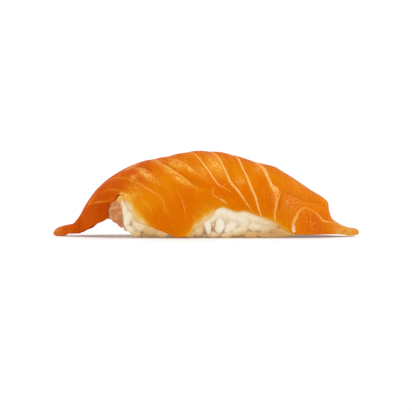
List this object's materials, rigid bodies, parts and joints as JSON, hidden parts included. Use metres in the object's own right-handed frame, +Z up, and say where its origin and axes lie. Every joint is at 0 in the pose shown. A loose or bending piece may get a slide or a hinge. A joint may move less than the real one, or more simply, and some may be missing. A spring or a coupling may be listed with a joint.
{
  "type": "salmon nigiri",
  "caption": "Sushi piece: a slice of raw salmon with pale fat seams, draped lengthways over a hand-pressed block of rice.",
  "frame": {"origin": "on the surface that the piece rests on, under the middle of its footprint", "axes": "+X along the slice towards its flat pointed end, -Y towards the front with the hanging lobe, +Z up"},
  "size_m": [0.092, 0.0305, 0.0258],
  "materials": {
    "salmon": "moist, softly glossy raw fish",
    "rice": "soft sheen of cooked rice"
  },
  "bodies": {
    "root": {"salmon": "salmon", "rice": "rice"}
  },
  "joints": []
}
